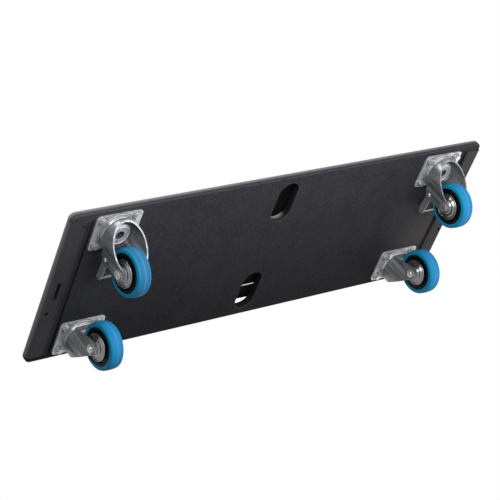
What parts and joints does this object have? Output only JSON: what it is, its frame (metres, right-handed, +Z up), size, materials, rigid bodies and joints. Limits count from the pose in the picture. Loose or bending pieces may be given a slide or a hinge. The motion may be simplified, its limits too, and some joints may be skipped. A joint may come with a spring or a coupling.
{
  "type": "caster board",
  "caption": "Long black transport board with hand slots, folded steel end rails and swivel plate casters with blue tyres, the pair on one side with wheel brakes.",
  "frame": {"origin": "on the floor under the middle of the board, between the wheels' lowest points", "axes": "+X along the board, +Y across it from the braked side to the free side, +Z up to the load face"},
  "size_m": [1.11, 0.386, 0.151],
  "materials": {
    "board_paint": "black textured paint on plywood",
    "mat_rubber": "matt black ribbed rubber sheet",
    "rail_paint": "black powder coat",
    "black_screw": "blackened steel",
    "zinc_sheet": "blue zinc plate on pressed steel",
    "zinc_hardware": "zinc plated fasteners",
    "guard_steel": "bright zinc plate",
    "bearing_steel": "ground bearing steel",
    "rim_plastic": "black moulded nylon",
    "tyre_rubber": "satin blue elastic rubber",
    "shoe_rubber": "black brake pad"
  },
  "bodies": {
    "board": {"board_panel": "board_paint", "load_mat": "mat_rubber", "mat_strip": "mat_rubber", "end_rail_left": "rail_paint", "end_rail_right": "rail_paint", "rail_screws": "black_screw", "rail_spacers": "zinc_hardware", "caster_bolts": "zinc_hardware", "tee_nuts": "zinc_hardware", "top_plate_left_braked": "zinc_sheet", "swivel_balls_left_braked": "bearing_steel", "race_cup_left_braked": "zinc_sheet", "kingpin_left_braked": "zinc_sheet", "top_plate_right_braked": "zinc_sheet", "swivel_balls_right_braked": "bearing_steel", "race_cup_right_braked": "zinc_sheet", "kingpin_right_braked": "zinc_sheet", "top_plate_left_free": "zinc_sheet", "swivel_balls_left_free": "bearing_steel", "race_cup_left_free": "zinc_sheet", "kingpin_left_free": "zinc_sheet", "top_plate_right_free": "zinc_sheet", "swivel_balls_right_free": "bearing_steel", "race_cup_right_free": "zinc_sheet", "kingpin_right_free": "zinc_sheet"},
    "swivel_left_braked": {"fork_left_braked": "zinc_sheet", "axle_bolt_left_braked": "zinc_hardware", "axle_sleeve_left_braked": "bearing_steel", "thread_guards_left_braked": "guard_steel", "brake_rivets_left_braked": "zinc_hardware"},
    "wheel_left_braked": {"wheel_bearings_left_braked": "bearing_steel", "wheel_rim_left_braked": "rim_plastic", "tyre_left_braked": "tyre_rubber"},
    "pedal_left_braked": {"brake_pedal_left_braked": "zinc_sheet", "brake_shoe_left_braked": "shoe_rubber"},
    "swivel_right_braked": {"fork_right_braked": "zinc_sheet", "axle_bolt_right_braked": "zinc_hardware", "axle_sleeve_right_braked": "bearing_steel", "thread_guards_right_braked": "guard_steel", "brake_rivets_right_braked": "zinc_hardware"},
    "wheel_right_braked": {"wheel_bearings_right_braked": "bearing_steel", "wheel_rim_right_braked": "rim_plastic", "tyre_right_braked": "tyre_rubber"},
    "pedal_right_braked": {"brake_pedal_right_braked": "zinc_sheet", "brake_shoe_right_braked": "shoe_rubber"},
    "swivel_left_free": {"fork_left_free": "zinc_sheet", "axle_bolt_left_free": "zinc_hardware", "axle_sleeve_left_free": "bearing_steel", "thread_guards_left_free": "guard_steel"},
    "wheel_left_free": {"wheel_bearings_left_free": "bearing_steel", "wheel_rim_left_free": "rim_plastic", "tyre_left_free": "tyre_rubber"},
    "swivel_right_free": {"fork_right_free": "zinc_sheet", "axle_bolt_right_free": "zinc_hardware", "axle_sleeve_right_free": "bearing_steel", "thread_guards_right_free": "guard_steel"},
    "wheel_right_free": {"wheel_bearings_right_free": "bearing_steel", "wheel_rim_right_free": "rim_plastic", "tyre_right_free": "tyre_rubber"}
  },
  "joints": [
    {"name": "swivel_left_braked", "type": "hinge", "parent": "board", "child": "swivel_left_braked", "pos_m": [-0.441, -0.14, 0.1185], "axis": [0, 0, 1], "continuous": true},
    {"name": "spin_left_braked", "type": "hinge", "parent": "swivel_left_braked", "child": "wheel_left_braked", "pos_m": [-0.441, -0.098, 0.05], "axis": [1, 0, 0], "continuous": true},
    {"name": "brake_left_braked", "type": "hinge", "parent": "swivel_left_braked", "child": "pedal_left_braked", "pos_m": [-0.441, -0.0915, 0.1017], "axis": [-1, 0, 0], "range_deg": [0, 14]},
    {"name": "swivel_right_braked", "type": "hinge", "parent": "board", "child": "swivel_right_braked", "pos_m": [0.441, -0.14, 0.1185], "axis": [0, 0, 1], "continuous": true},
    {"name": "spin_right_braked", "type": "hinge", "parent": "swivel_right_braked", "child": "wheel_right_braked", "pos_m": [0.441, -0.098, 0.05], "axis": [1, 0, 0], "continuous": true},
    {"name": "brake_right_braked", "type": "hinge", "parent": "swivel_right_braked", "child": "pedal_right_braked", "pos_m": [0.441, -0.0915, 0.1017], "axis": [-1, 0, 0], "range_deg": [0, 14]},
    {"name": "swivel_left_free", "type": "hinge", "parent": "board", "child": "swivel_left_free", "pos_m": [-0.441, 0.14, 0.1185], "axis": [0, 0, 1], "continuous": true},
    {"name": "spin_left_free", "type": "hinge", "parent": "swivel_left_free", "child": "wheel_left_free", "pos_m": [-0.441, 0.098, 0.05], "axis": [1, 0, 0], "continuous": true},
    {"name": "swivel_right_free", "type": "hinge", "parent": "board", "child": "swivel_right_free", "pos_m": [0.441, 0.14, 0.1185], "axis": [0, 0, 1], "continuous": true},
    {"name": "spin_right_free", "type": "hinge", "parent": "swivel_right_free", "child": "wheel_right_free", "pos_m": [0.441, 0.098, 0.05], "axis": [1, 0, 0], "continuous": true}
  ]
}
